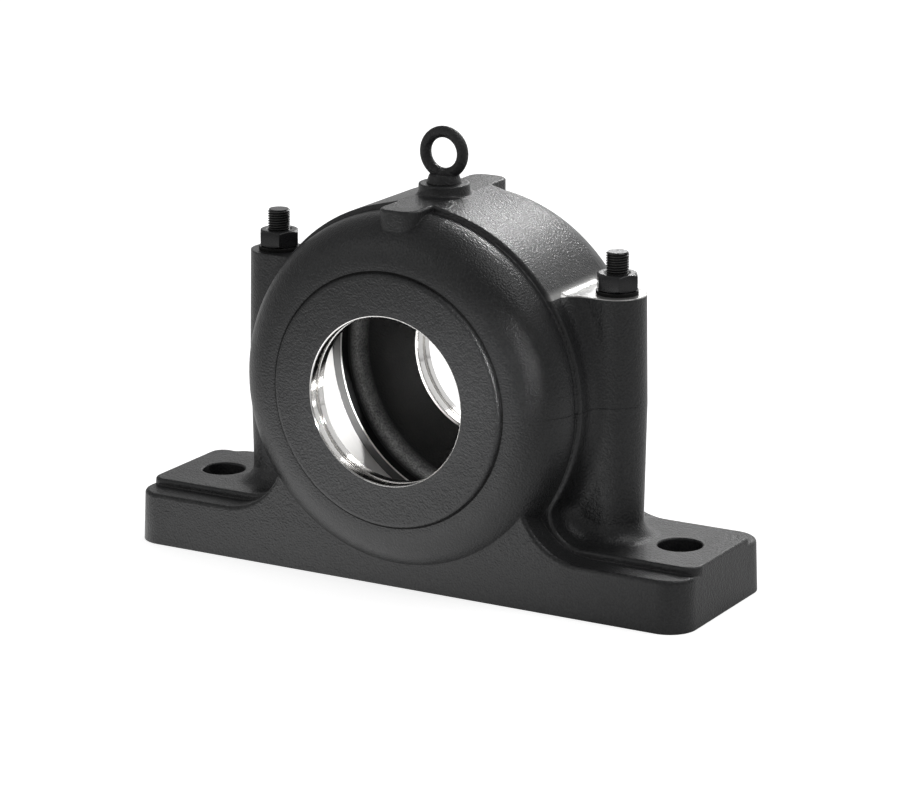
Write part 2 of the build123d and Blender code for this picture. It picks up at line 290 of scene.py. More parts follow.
def soft_lamp(name, place, width, height, watts):
    """A rectangular soft box at a place, facing the block."""
    data = bpy.data.lights.new(name, "AREA")
    data.shape = "RECTANGLE"
    data.size = width
    data.size_y = height
    data.energy = watts
    return hang_lamp(name, data, place, look_at)


def spot_lamp(name, place, target, watts, cone, blend_share, radius):
    """A narrow lamp that lights one small part of the block."""
    data = bpy.data.lights.new(name, "SPOT")
    data.energy = watts
    data.shadow_soft_size = radius
    data.spot_size = math.radians(cone)
    data.spot_blend = blend_share
    return hang_lamp(name, data, place, target)


# %% Soft boxes and spots
seat_middle = (0, -0.083, shaft_height)
drum_sheen = (0.066, -0.035, 0.286)
lamps = [
    soft_lamp("back_soft_box", place=(-0.06, 1.93, 1.62), width=0.80, height=0.50, watts=11),
    soft_lamp("top_soft_box", place=(1.2, 0.3, 2.2), width=1.2, height=1.2, watts=9),
    soft_lamp("front_soft_box", place=(-1.6, -2.2, 1.6), width=1.6, height=1.6, watts=6),
    soft_lamp("column_card", place=(-0.40, 1.0, 0.57), width=0.22, height=0.11, watts=0.4),
    spot_lamp("bore_lamp", place=(1.64, -1.32, 0.75), target=seat_middle,
              watts=420, cone=3.3, blend_share=0.3, radius=0.035),
    spot_lamp("drum_lamp", place=(-0.11, 1.64, 1.38), target=drum_sheen,
              watts=26, cone=6.0, blend_share=1.0, radius=0.04),
]
print("lamps:", [lamp.name for lamp in lamps])

# %% [markdown]
# ## Shared surface effects
# Sand-cast iron carries the print of the sand it was poured in: fine grains about a millimetre
# across, with slow waves where the mould was packed by hand. It is made of two noises added
# together in one node group, so that every finish can use it, each at its own scale and depth.
# The waves alone also make the tone wander, and the highest grains are given as specks.


# %% Helpers for node groups
def new_group(name, inputs, outputs):
    """A shader node group with float or vector sockets."""
    kinds = {"value": "NodeSocketFloat", "vector": "NodeSocketVector"}
    group = bpy.data.node_groups.new(name, "ShaderNodeTree")
    for label, kind in inputs:
        group.interface.new_socket(name=label, in_out="INPUT", socket_type=kinds[kind])
    for label, kind in outputs:
        group.interface.new_socket(name=label, in_out="OUTPUT", socket_type=kinds[kind])
    start = group.nodes.new("NodeGroupInput")
    end = group.nodes.new("NodeGroupOutput")
    return group, start.outputs, end.inputs


def noise_node(tree, vector, scale, detail, roughness=0.5):
    """A noise texture's value on the given coordinates."""
    node = tree.nodes.new("ShaderNodeTexNoise")
    node.inputs["Detail"].default_value = detail
    node.inputs["Roughness"].default_value = roughness
    tree.links.new(vector, node.inputs["Vector"])
    plug(tree, scale, node.inputs["Scale"])
    return node.outputs["Fac"]


def sharpen(tree, value, start, gain):
    """Takes off what lies below a start and stretches the rest, from zero to one."""
    value = math_node(tree, "SUBTRACT", value, start)
    return math_node(tree, "MULTIPLY", value, gain, clamp=True)


# %% Sand grain
speck_start = 0.35
speck_gain = 3.3
sand_grain, grain_in, grain_out = new_group(
    "sand_grain",
    [("Vector", "vector"), ("Grain Scale", "value"), ("Wave Scale", "value"),
     ("Wave Share", "value")],
    [("Height", "value"), ("Tone", "value"), ("Speck", "value")],
)
fine = noise_node(sand_grain, grain_in["Vector"], grain_in["Grain Scale"], detail=2)
wave = noise_node(sand_grain, grain_in["Vector"], grain_in["Wave Scale"], detail=2)
waved = math_node(sand_grain, "MULTIPLY", wave, grain_in["Wave Share"])
sand_grain.links.new(math_node(sand_grain, "ADD", fine, waved), grain_out["Height"])
sand_grain.links.new(wave, grain_out["Tone"])
sand_grain.links.new(sharpen(sand_grain, fine, speck_start, speck_gain), grain_out["Speck"])
print("group:", sand_grain.name)

# %% [markdown]
# Most of what follows is drawn by masks. A mask is one where an effect shows and zero elsewhere.
# Masks are made as a machinist marks out a casting, by measuring: below this line, beyond that
# radius, and both at once.


# %% Helpers for masks
def within(tree, value, limit):
    """One where a value is below a limit."""
    return math_node(tree, "LESS_THAN", value, limit)


def beyond(tree, value, limit):
    """One where a value is above a limit."""
    return math_node(tree, "GREATER_THAN", value, limit)


def both(tree, first, second):
    """What two masks share."""
    return math_node(tree, "MULTIPLY", first, second)


def either(tree, first, second):
    """What at least one of two masks covers."""
    return math_node(tree, "MAXIMUM", first, second)


# %% [markdown]
# The cap and the lower housing are bored and faced together, so on the drum their joint closes
# to nothing under the paint. It stays visible as a fine line on the stud columns alone. This
# group gives a mask that is one along the closed part of the joint.

# %% Closed joint
joint_reach = 0.003
joint_inboard = 0.128
closed_joint, joint_in, joint_out = new_group(
    "closed_joint", [("Vector", "vector")], [("Closed", "value")])
spot = split_place(closed_joint, joint_in["Vector"])
off_joint = math_node(closed_joint, "SUBTRACT", spot["Z"], shaft_height)
off_joint = math_node(closed_joint, "ABSOLUTE", off_joint)
off_centre = math_node(closed_joint, "ABSOLUTE", spot["X"])
beside_joint = within(closed_joint, off_joint, joint_reach)
inboard = within(closed_joint, off_centre, joint_inboard)
closed_joint.links.new(both(closed_joint, beside_joint, inboard), joint_out["Closed"])
print("group:", closed_joint.name)

# %% [markdown]
# Paint rubs thin on edges that hands, slings and spanners touch. A Bevel node gives the normal
# of a slightly rounded copy of the shape; where it differs from the true normal there is an
# edge. Noise breaks the line up, so that the wear looks handled, not drawn. Along the closed
# joint the true normal is used, so that no edge shows there.

# %% Edge wear
edge_round = 0.0016
edge_gain = 5.0
rub_scale = 45
rub_start = 0.42
rub_gain = 6.0
edge_wear, wear_in, wear_out = new_group(
    "edge_wear",
    [("Vector", "vector"), ("Amount", "value"), ("Closed", "value")],
    [("Mask", "value"), ("Normal", "vector")],
)
rounded = edge_wear.nodes.new("ShaderNodeBevel")
rounded.samples = 6
rounded.inputs["Radius"].default_value = edge_round
true_normal = edge_wear.nodes.new("ShaderNodeNewGeometry").outputs["Normal"]
soft_normal = blend(edge_wear, wear_in["Closed"], rounded.outputs["Normal"], true_normal,
                    "VECTOR", "VECTOR")
likeness = edge_wear.nodes.new("ShaderNodeVectorMath")
likeness.operation = "DOT_PRODUCT"
edge_wear.links.new(soft_normal, likeness.inputs[0])
edge_wear.links.new(true_normal, likeness.inputs[1])
edge = math_node(edge_wear, "SUBTRACT", 1.0, likeness.outputs["Value"])
edge = math_node(edge_wear, "MULTIPLY", edge, edge_gain, clamp=True)
rubs = noise_node(edge_wear, wear_in["Vector"], rub_scale, detail=4, roughness=0.65)
rubs = sharpen(edge_wear, rubs, rub_start, rub_gain)
worn = both(edge_wear, edge, rubs)
worn = math_node(edge_wear, "MULTIPLY", worn, wear_in["Amount"], clamp=True)
edge_wear.links.new(worn, wear_out["Mask"])
edge_wear.links.new(soft_normal, wear_out["Normal"])
print("group:", edge_wear.name)

# %% [markdown]
# ## Turned surfaces
# The bores are turned on a boring mill after casting, so they are bare, bright iron with fine
# rings left by the tool. One group finds them by three measures: the radius from the shaft line,
# the distance along the shaft from the middle plane, and the height. The sizes are the
# housing's own, and each mask goes a hair past its surface, so that the surface is covered
# to its edge.


# %% Helper for distances
def distance_node(tree, first, second):
    """How far a point is from a line, from its two offsets at a right angle."""
    first_squared = math_node(tree, "MULTIPLY", first, first)
    second_squared = math_node(tree, "MULTIPLY", second, second)
    return math_node(tree, "SQRT", math_node(tree, "ADD", first_squared, second_squared))


# %% Start the group of turned surfaces
hair = 0.0001
bore_radius = 0.067
bore_break = 0.0008
groove_depth = 0.0025
end_wall_inside = 0.0737
seat_radius = 0.125
seat_half_width = 0.035
seat_break = 0.0008
chamber_radius = 0.117
turned_marks, turn_in, turn_out = new_group(
    "turned_marks",
    [("Vector", "vector")],
    [("Turned", "value"), ("Rings", "value"), ("Bored", "value"), ("Shaded Step", "value"),
     ("Inside", "value"), ("Painted Shade", "value"), ("Painted Highlight", "value"), ("Painted Sheen", "value")],
)
spot = split_place(turned_marks, turn_in["Vector"])
rise = math_node(turned_marks, "SUBTRACT", spot["Z"], shaft_height)
radius = distance_node(turned_marks, rise, spot["X"])
along = math_node(turned_marks, "ABSOLUTE", spot["Y"])
print("group:", turned_marks.name)

# %% [markdown]
# Each end wall has the shaft bore, with a groove for its seal. Between the walls lies the wide
# bearing seat, turned larger than the chamber beside it. The step at each side of the seat is
# faced, and its iron gets painted shade: a dark grey in place of the seat's bright iron.

# %% Bores, seat and step
groove_spare = 0.0003
outer_lip = 0.0040
seat_spare = 0.0012
face_spare = 0.0002
in_bore = within(turned_marks, radius, bore_radius + bore_break + hair)
in_groove = both(turned_marks,
                 within(turned_marks, radius, bore_radius + groove_depth + groove_spare),
                 within(turned_marks, along, base_high.y - outer_lip))
past_wall = beyond(turned_marks, along, end_wall_inside - bore_break)
bored = both(turned_marks, either(turned_marks, in_bore, in_groove), past_wall)
seat = both(turned_marks,
            within(turned_marks, along, seat_half_width + seat_break + hair),
            within(turned_marks, radius, seat_radius + seat_spare))
seat = both(turned_marks, seat, beyond(turned_marks, radius, chamber_radius - hair))
# painted shade on the faced step of the seat
shaded_step = both(turned_marks,
             beyond(turned_marks, along, seat_half_width - face_spare),
             beyond(turned_marks, radius, chamber_radius + seat_break))
turned_marks.links.new(either(turned_marks, bored, seat), turn_out["Turned"])
turned_marks.links.new(bored, turn_out["Bored"])
turned_marks.links.new(both(turned_marks, shaded_step, seat), turn_out["Shaded Step"])
print("bored to", bore_radius, "seat turned to", seat_radius)

# %% [markdown]
# The tool leaves its rings at right angles to the shaft. A noise gives them when its coordinates
# are squeezed along the radius and the shaft, and drawn out in height.

# %% Tool rings
ring_squeeze = 9.0
ring_draw = 0.15
ring_scale = 260
stretch = turned_marks.nodes.new("ShaderNodeCombineXYZ")
squeezed_y = math_node(turned_marks, "MULTIPLY", spot["Y"], ring_squeeze)
squeezed_radius = math_node(turned_marks, "MULTIPLY", radius, ring_squeeze)
drawn_z = math_node(turned_marks, "MULTIPLY", spot["Z"], ring_draw)
turned_marks.links.new(squeezed_radius, stretch.inputs["X"])
turned_marks.links.new(squeezed_y, stretch.inputs["Y"])
turned_marks.links.new(drawn_z, stretch.inputs["Z"])
rings = noise_node(turned_marks, stretch.outputs["Vector"], ring_scale, detail=3, roughness=0.7)
turned_marks.links.new(rings, turn_out["Rings"])
print("rings squeezed", ring_squeeze, "times")

# %% [markdown]
# The oil chamber keeps its paint. Two corners get painted shade, near-black and dull: round the
# foot of the raised seal face outside, and under the step of the bearing seat inside. A painted
# sheen, a pale grey that stands for light on the paint, lies on the rounded corner between the
# chamber's wall and the end wall, brightest in the middle.

# %% Chamber, painted shade in corners and painted sheen
inside_spare = 0.0005
seal_face_radius = 0.101
corner_off = 0.0004
corner_half_width = 0.0011
corner_near = 0.0030
corner_far = 0.0045
step_shade_end = 0.0455
sheen_middle = 0.0575
sheen_spread = 0.0095
sheen_inner_radius = 0.0900
inside = both(turned_marks,
              within(turned_marks, radius, chamber_radius + inside_spare),
              within(turned_marks, along, end_wall_inside + bore_break))
turned_marks.links.new(inside, turn_out["Inside"])
# painted shade: the foot of the raised seal face and the wall under the seat's step are darkened
# where shade falls
shaded_corner = math_node(turned_marks, "SUBTRACT", radius, seal_face_radius + corner_off)
shaded_corner = math_node(turned_marks, "ABSOLUTE", shaded_corner)
shaded_corner = within(turned_marks, shaded_corner, corner_half_width)
corner_depth = both(turned_marks,
                    within(turned_marks, along, base_high.y - corner_near),
                    beyond(turned_marks, along, base_high.y - corner_far))
under_step = both(turned_marks, inside, within(turned_marks, along, step_shade_end))
shaded_corner = either(turned_marks, both(turned_marks, shaded_corner, corner_depth), under_step)
turned_marks.links.new(shaded_corner, turn_out["Painted Shade"])
# painted sheen: a pale band on the chamber's rounded corner, brightest in the middle, stands for
# light on the paint
off_sheen = math_node(turned_marks, "SUBTRACT", along, sheen_middle)
off_sheen = math_node(turned_marks, "ABSOLUTE", off_sheen)
off_sheen = math_node(turned_marks, "DIVIDE", off_sheen, sheen_spread)
sheen = math_node(turned_marks, "SUBTRACT", 1.0, off_sheen, clamp=True)
sheen = both(turned_marks, sheen, beyond(turned_marks, radius, sheen_inner_radius))
turned_marks.links.new(both(turned_marks, sheen, inside), turn_out["Painted Sheen"])
print("dust lies from radius", sheen_inner_radius)

# %% [markdown]
# A painted highlight lies on the right column's top and on the foot of the fillet that climbs
# from there to the drum: a light, metallic and smooth colour that stands for the gleam of light
# on it. The mask starts just under the top, fades out up the fillet and towards the drum's rim,
# and covers the right column alone.


# %% Helpers for fades
def fade_out(tree, value, limit, width):
    """Falls to zero over a width as a value climbs to a limit."""
    short_by = math_node(tree, "SUBTRACT", limit, value)
    return math_node(tree, "DIVIDE", short_by, width, clamp=True)


def fade_in(tree, value, limit, width):
    """Climbs from zero to one over a width as a value passes a limit."""
    past_by = math_node(tree, "SUBTRACT", value, limit)
    return math_node(tree, "DIVIDE", past_by, width, clamp=True)


# %% Painted highlight on the right column top
top_spare = 0.0008
highlight_height = 0.0075
highlight_fade = 0.0055
rim_limit = 0.0480
column_inner_edge = 0.1150
side_fade = 0.0060
# painted highlight: a light, metallic, smooth patch on the right column top stands for the gleam
# of light there
above_top = beyond(turned_marks, spot["Z"], column_top - top_spare)
low_fillet = fade_out(turned_marks, spot["Z"], column_top + highlight_height, highlight_fade)
behind_rim = fade_out(turned_marks, along, rim_limit, side_fade)
outboard = fade_in(turned_marks, spot["X"], column_inner_edge, side_fade)
painted_highlight = both(turned_marks, above_top, both(turned_marks, low_fillet, behind_rim))
turned_marks.links.new(both(turned_marks, painted_highlight, outboard), turn_out["Painted Highlight"])
print("rubbed above", round(column_top - top_spare, 4))

# %% [markdown]
# ## Black paint on the castings
# The housing is dipped or sprayed in a satin black. The paint is thin, so the sand grain of the
# iron shows through it as fine bumps, and its gloss wanders with the thickness of the coat. One
# material holds every finish of a casting, chosen by the masks that were made above: paint
# outside, duller paint in the oil chamber with a painted sheen on its rounded corner, bare turned
# iron in the bores, painted shade in two corners and a painted highlight on the right column top.
# Colours are laid over each other from the widest to the smallest, as coats are.


# %% Helper for shared effects
def use_group(tree, group, vector, **values):
    """The outputs of one copy of a shared effect, which has its own values."""
    node = tree.nodes.new("ShaderNodeGroup")
    node.node_tree = group
    tree.links.new(vector, node.inputs["Vector"])
    for label, value in values.items():
        plug(tree, value, node.inputs[label.replace("_", " ")])
    return node.outputs


# %% Colours of a casting
thin_paint = (0.0085, 0.0088, 0.0095, 1)
thick_paint = (0.016, 0.0163, 0.017, 1)
high_grain = (0.024, 0.0243, 0.025, 1)
chamber_paint = (0.016, 0.016, 0.0165, 1)
# painted sheen colour for the chamber's rounded corner
painted_fillet_sheen = (0.70, 0.70, 0.70, 1)
# painted highlight colour for the right column top
painted_top_highlight = (0.60, 0.595, 0.585, 1)
# deep_shade is painted shade for two corners
deep_shade = (0.002, 0.002, 0.002, 1)
rubbed_edge = (0.055, 0.055, 0.057, 1)
ring_hollow = (0.80, 0.79, 0.77, 1)
ring_crest = (0.92, 0.91, 0.90, 1)
# painted shade for the faced step of the seat
shaded_step_iron = (0.10, 0.10, 0.10, 1)
sheen_tone_share = 0.8
sheen_speck_share = 0.6
casting_paint, tree, shader, place = new_material("casting_paint")
turned = use_group(tree, turned_marks, place)
joint = use_group(tree, closed_joint, place)
grain = use_group(tree, sand_grain, place, Grain_Scale=620, Wave_Scale=46, Wave_Share=0.8)
wear = use_group(tree, edge_wear, place, Amount=0.35, Closed=joint["Closed"])
coat = blend_colour(tree, grain["Tone"], thin_paint, thick_paint)
coat = blend_colour(tree, grain["Speck"], coat, high_grain)
coat = blend_colour(tree, turned["Inside"], coat, chamber_paint)
sheen_tone = math_node(tree, "MULTIPLY", grain["Tone"], sheen_tone_share)
sheen_specks = math_node(tree, "MULTIPLY", grain["Speck"], sheen_speck_share)
sheen_grain = math_node(tree, "ADD", sheen_tone, sheen_specks)
# painted sheen along the chamber's rounded corner, broken by the grain
coat = blend_colour(tree, both(tree, turned["Painted Sheen"], sheen_grain), coat, painted_fillet_sheen)
# painted highlight on the right column top
coat = blend_colour(tree, turned["Painted Highlight"], coat, painted_top_highlight)
# painted shade in the two corners
coat = blend_colour(tree, turned["Painted Shade"], coat, deep_shade)
coat = blend_colour(tree, wear["Mask"], coat, rubbed_edge)
iron = blend_colour(tree, turned["Rings"], ring_hollow, ring_crest)
# painted shade: the faced step is dark grey beside the bright seat
iron = blend_colour(tree, turned["Shaded Step"], iron, shaded_step_iron)
colour = blend_colour(tree, turned["Turned"], coat, iron)
tree.links.new(colour, shader.inputs["Base Color"])
print("material:", casting_paint.name)

# %% [markdown]
# Roughness and metal follow the same masks. Paint is no metal, turned iron is all metal, and the
# shaded bearing seat and the painted highlight on the right column top lie between the two.

# %% Roughness of a casting
glossy_paint = 0.26
satin_paint = 0.36
chamber_roughness = 0.62
corner_roughness = 0.95
highlight_roughness = 0.30
smooth_ring = 0.05
rough_ring = 0.13
seat_roughness = 0.35
paint_gloss = blend_value(tree, grain["Tone"], glossy_paint, satin_paint)
paint_gloss = blend_value(tree, turned["Inside"], paint_gloss, chamber_roughness)
paint_gloss = blend_value(tree, turned["Painted Shade"], paint_gloss, corner_roughness)
paint_gloss = blend_value(tree, turned["Painted Highlight"], paint_gloss, highlight_roughness)
iron_gloss = blend_value(tree, turned["Rings"], smooth_ring, rough_ring)
iron_gloss = blend_value(tree, turned["Bored"], seat_roughness, iron_gloss)
gloss = blend_value(tree, turned["Turned"], paint_gloss, iron_gloss)
tree.links.new(gloss, shader.inputs["Roughness"])
print("paint roughness from", glossy_paint, "to", satin_paint)

# %% Metal of a casting
seat_metal = 0.25
bore_metal = 1.0
highlight_metal = 0.85
bare_metal = blend_value(tree, turned["Bored"], seat_metal, bore_metal)
bare_metal = both(tree, turned["Turned"], bare_metal)
highlight = math_node(tree, "MULTIPLY", turned["Painted Highlight"], highlight_metal)
tree.links.new(either(tree, bare_metal, highlight), shader.inputs["Metallic"])
print("metal of the seat", seat_metal, "and of the bores", bore_metal)

# %% [markdown]
# The bumps of the sand stop where a tool has smoothed the iron, and nearly stop under the painted
# highlight on the right column top. On the turned iron the rings take over, a hundred times
# shallower.


# %% Helper for bumps
def bump(tree, height, distance, strength, normal=None):
    """A Bump node, optionally on top of another normal."""
    node = tree.nodes.new("ShaderNodeBump")
    node.inputs["Distance"].default_value = distance
    node.inputs["Strength"].default_value = strength
    tree.links.new(height, node.inputs["Height"])
    if normal is not None:
        tree.links.new(normal, node.inputs["Normal"])
    return node.outputs["Normal"]


# %% Bumps of a casting
highlight_smooth = 0.9
ring_share = 0.01
grain_depth = 0.0006
smoothed = math_node(tree, "MULTIPLY", turned["Painted Highlight"], highlight_smooth)
smoothed = either(tree, turned["Turned"], smoothed)
still_rough = math_node(tree, "SUBTRACT", 1.0, smoothed)
grain_height = both(tree, grain["Height"], still_rough)
ring_height = both(tree, turned["Rings"], turned["Turned"])
ring_height = math_node(tree, "MULTIPLY", ring_height, ring_share)
surface = math_node(tree, "ADD", grain_height, ring_height)
tree.links.new(bump(tree, surface, grain_depth, 1.0, wear["Normal"]), shader.inputs["Normal"])
for name in ("housing_base", "housing_cap"):
    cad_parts[name].data.materials[0] = casting_paint
print("grain depth, metres:", grain_depth)

# %% [markdown]
# ## Modelling by hand, in code
# The fasteners and the lifting eye are modelled as a person would at the screen: a primitive is
# added, faces are picked, and they are extruded, inset and scaled. Picking is done here by
# place: each test looks at the middle of a face, or at a point.


# %% Helpers for picking
def middle_of(item):
    """The middle of a face, or a point's own place."""
    if isinstance(item, bmesh.types.BMFace):
        return item.calc_center_median()
    return item.co


def pick(piece, kind, test):
    """Selects, in edit mode, only the faces or points whose place passes the test."""
    bpy.ops.mesh.select_mode(type=kind)
    bpy.ops.mesh.select_all(action="DESELECT")
    mesh = bmesh.from_edit_mesh(piece.data)
    items = {"FACE": mesh.faces, "VERT": mesh.verts}[kind]
    for item in items:
        if test(middle_of(item)):
            item.select_set(True)
    mesh.select_flush_mode()
    bmesh.update_edit_mesh(piece.data)


# %% Helpers for finishing
def finish_modifier(piece, kind, **settings):
    """Adds a modifier with its settings and applies it."""
    bpy.context.view_layer.objects.active = piece
    modifier = piece.modifiers.new(kind.lower(), kind)
    for label, value in settings.items():
        setattr(modifier, label, value)
    bpy.ops.object.modifier_apply(modifier=modifier.name)


def cut_with(piece, tool, operation):
    """Joins, cuts or trims a piece with a second solid, which is used up."""
    finish_modifier(piece, "BOOLEAN", object=tool, operation=operation, solver="EXACT")
    bpy.data.objects.remove(tool)


def settle(piece, name, smooth_angle=30):
    """Names a piece, puts its place in its mesh and shades its round faces smooth."""
    bpy.ops.object.select_all(action="DESELECT")
    piece.select_set(True)
    bpy.context.view_layer.objects.active = piece
    bpy.ops.object.transform_apply(location=True, rotation=True, scale=True)
    bpy.ops.object.shade_smooth_by_angle(angle=math.radians(smooth_angle))
    piece.name = name
    return piece


def twin(piece, name, shift, turn=0.0):
    """A copy with its own mesh, turned about its stud line and moved across the block."""
    bpy.ops.object.select_all(action="DESELECT")
    piece.select_set(True)
    bpy.context.view_layer.objects.active = piece
    bpy.ops.object.duplicate(linked=False)
    copy = bpy.context.object
    copy.rotation_euler.z = turn
    copy.location.x = shift
    bpy.ops.object.transform_apply(location=True, rotation=True, scale=True)
    copy.name = name
    return copy


# %% Helper for turning
touching = 1e-6


def turned_bar(points, sides):
    """A bar turned on a lathe: a short cone whose end face is extruded and scaled from one
    (radius, height) point to the next."""
    (first_radius, first_height), (second_radius, second_height) = points[0], points[1]
    bpy.ops.object.select_all(action="DESELECT")
    bpy.ops.mesh.primitive_cone_add(
        vertices=sides, radius1=first_radius, radius2=second_radius,
        depth=second_height - first_height, location=(0, 0, (first_height + second_height) / 2))
    bar = bpy.context.object
    bpy.ops.object.transform_apply(location=True, rotation=True, scale=True)
    bpy.ops.object.mode_set(mode="EDIT")
    radius, height = second_radius, second_height
    for next_radius, next_height in points[2:]:
        pick(bar, "FACE", lambda c: abs(c.z - height) < touching)
        bpy.ops.mesh.extrude_region_move(
            TRANSFORM_OT_translate={"value": (0, 0, next_height - height)})
        scale = next_radius / radius
        bpy.ops.transform.resize(value=(scale, scale, 1), center_override=(0, 0, next_height))
        radius, height = next_radius, next_height
    bpy.ops.object.mode_set(mode="OBJECT")
    return bar


# %% [markdown]
# ## Washers
# A plain washer is stamped from strip and tumbled, so that no edge is left sharp. A disc is
# inset to the size of the hole, the two inner faces are bridged to open the hole, and a small
# bevel breaks the edges. The left washer is a copy of the right one with its own mesh.

# %% Washers
washer_radius = (washer_high.x - washer_low.x) / 2
washer_thickness = washer_high.z - washer_low.z
washer_hole_radius = 0.0095
washer_edge_break = 0.0004
near_axis = 0.001
bpy.ops.object.select_all(action="DESELECT")
bpy.ops.mesh.primitive_cylinder_add(
    vertices=96, radius=washer_radius, depth=washer_thickness,
    location=(0, 0, washer_low.z + washer_thickness / 2))
washer = bpy.context.object
bpy.ops.object.transform_apply(location=True, rotation=True, scale=True)
bpy.ops.object.mode_set(mode="EDIT")
pick(washer, "FACE", lambda c: math.hypot(c.x, c.y) < near_axis)
bpy.ops.mesh.inset(thickness=washer_radius - washer_hole_radius, depth=0, use_individual=True)
pick(washer, "FACE", lambda c: math.hypot(c.x, c.y) < near_axis)
bpy.ops.mesh.bridge_edge_loops()
bpy.ops.object.mode_set(mode="OBJECT")
finish_modifier(washer, "BEVEL", width=washer_edge_break, segments=2, limit_method="ANGLE")
washer_right = twin(settle(washer, "washer_blank"), "washer_right", stud_x)
washer_left = twin(washer, "washer_left", -stud_x)
bpy.data.objects.remove(washer)
print("washer faces:", len(washer_right.data.polygons))

# %% [markdown]
# ## Nuts
# A hexagon nut is cut from hexagon bar and turned at both ends with a thirty degree chamfer,
# which leaves a round face and curved shoulders on the corners. It is made the same way here:
# a six-sided prism is trimmed by a turned blank, then bored by a turned tool with flared ends.
# Each nut stopped at its own turn when it was tightened.

# %% Nuts
nut_low, nut_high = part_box("cap_nut_right")
nut_flats = 0.030
nut_face_radius = 0.01425
nut_corner_radius = nut_flats / math.sqrt(3)
nut_blank_radius = nut_corner_radius + hair
nut_chamfer = (nut_blank_radius - nut_face_radius) * math.tan(math.radians(30))
nut_hole_radius = 0.00905
nut_mouth = 0.0013
nut_edge_break = 0.00035
tool_overshoot = 0.001
nut_turns = {"right": math.radians(-27.9), "left": math.radians(-28.4)}
bpy.ops.object.select_all(action="DESELECT")
bpy.ops.mesh.primitive_cylinder_add(
    vertices=6, radius=nut_corner_radius, depth=nut_high.z - nut_low.z + 2 * tool_overshoot,
    location=(0, 0, (nut_low.z + nut_high.z) / 2))
nut = bpy.context.object
turned_nut = turned_bar([
    (nut_face_radius, nut_low.z),
    (nut_blank_radius, nut_low.z + nut_chamfer),
    (nut_blank_radius, nut_high.z - nut_chamfer),
    (nut_face_radius, nut_high.z),
], sides=144)
cut_with(nut, turned_nut, "INTERSECT")
boring_tool = turned_bar([
    (nut_hole_radius + nut_mouth + tool_overshoot, nut_low.z - tool_overshoot),
    (nut_hole_radius, nut_low.z + nut_mouth),
    (nut_hole_radius, nut_high.z - nut_mouth),
    (nut_hole_radius + nut_mouth + tool_overshoot, nut_high.z + tool_overshoot),
], sides=72)
cut_with(nut, boring_tool, "DIFFERENCE")
finish_modifier(nut, "BEVEL", width=nut_edge_break, segments=2, limit_method="ANGLE",
                angle_limit=math.radians(28))
settle(nut, "nut_blank")
nut_right = twin(nut, "nut_right", stud_x, nut_turns["right"])
nut_left = twin(nut, "nut_left", -stud_x, nut_turns["left"])
bpy.data.objects.remove(nut)
print("nut faces:", len(nut_right.data.polygons))

# %% [markdown]
# ## Studs with a real thread
# The cap is held by two studs with a fine metric thread, 18 mm over the crests with 2 mm from
# crest to crest. A thread is one short outline swept round the axis while it climbs by its own
# pitch. The outline starts as one edge of a plane, cut into sixteen; its middle is pushed out
# five times, each time with one point fewer at each side, which gives the straight flanks, a
# flat crest and a wider root. The Screw modifier sweeps it. Two cuts close its ends, and a
# turned blank trims the point of the stud to its chamfer.

# %% Threaded length
stud_low, stud_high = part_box("cap_stud_right")
stud_radius = (stud_high.x - stud_low.x) / 2
thread_pitch = 0.0020
depth_per_pitch = 0.6134
thread_depth = depth_per_pitch * thread_pitch
thread_below_nut = 0.0085
thread_start = nut_low.z - thread_below_nut
spare_turns = 3
thread_turns = math.ceil((stud_high.z - thread_start) / thread_pitch) + spare_turns
crest_clearance = 0.00003
crest_radius = stud_radius - crest_clearance
root_radius = crest_radius - thread_depth
print("thread:", thread_turns, "turns of", thread_pitch)

# %% Thread outline
outline_steps = 16
flank_steps = 5
bpy.ops.object.select_all(action="DESELECT")
bpy.ops.mesh.primitive_plane_add(size=thread_pitch)
thread = bpy.context.object
bpy.ops.object.mode_set(mode="EDIT")
pick(thread, "VERT", lambda c: c.x < 0)
bpy.ops.mesh.delete(type="VERT")
bpy.ops.mesh.select_all(action="SELECT")
bpy.ops.mesh.subdivide(number_cuts=outline_steps - 1)
step = thread_pitch / outline_steps
for points_each_side in range(flank_steps, 0, -1):
    reach = (points_each_side + 0.5) * step
    pick(thread, "VERT", lambda c: abs(c.y) < reach)
    bpy.ops.transform.translate(value=(thread_depth / flank_steps, 0, 0))
bpy.ops.mesh.select_all(action="SELECT")
bpy.ops.transform.rotate(value=math.radians(90), orient_axis="X", center_override=(0, 0, 0))
bpy.ops.transform.translate(
    value=(root_radius - thread_pitch / 2, 0, thread_start - thread_pitch))
bpy.ops.object.mode_set(mode="OBJECT")
print("outline points:", len(thread.data.vertices))

# %% Sweep the thread
points_per_turn = 40
over_stud_end = 0.0007
finish_modifier(thread, "SCREW", axis="Z", angle=2 * math.pi, steps=points_per_turn,
                render_steps=points_per_turn, screw_offset=thread_pitch, iterations=thread_turns)
bpy.ops.object.mode_set(mode="EDIT")
bpy.ops.mesh.select_all(action="SELECT")
bpy.ops.mesh.remove_doubles(threshold=0.00001)
bpy.ops.mesh.bisect(plane_co=(0, 0, thread_start), plane_no=(0, 0, 1), use_fill=True,
                    clear_inner=True, threshold=1e-7)
bpy.ops.mesh.select_all(action="SELECT")
bpy.ops.mesh.bisect(plane_co=(0, 0, stud_high.z + over_stud_end), plane_no=(0, 0, 1),
                    use_fill=True, clear_outer=True, threshold=1e-7)
bpy.ops.mesh.select_all(action="SELECT")
bpy.ops.mesh.normals_make_consistent(inside=False)
bpy.ops.object.mode_set(mode="OBJECT")
print("thread faces:", len(thread.data.polygons))

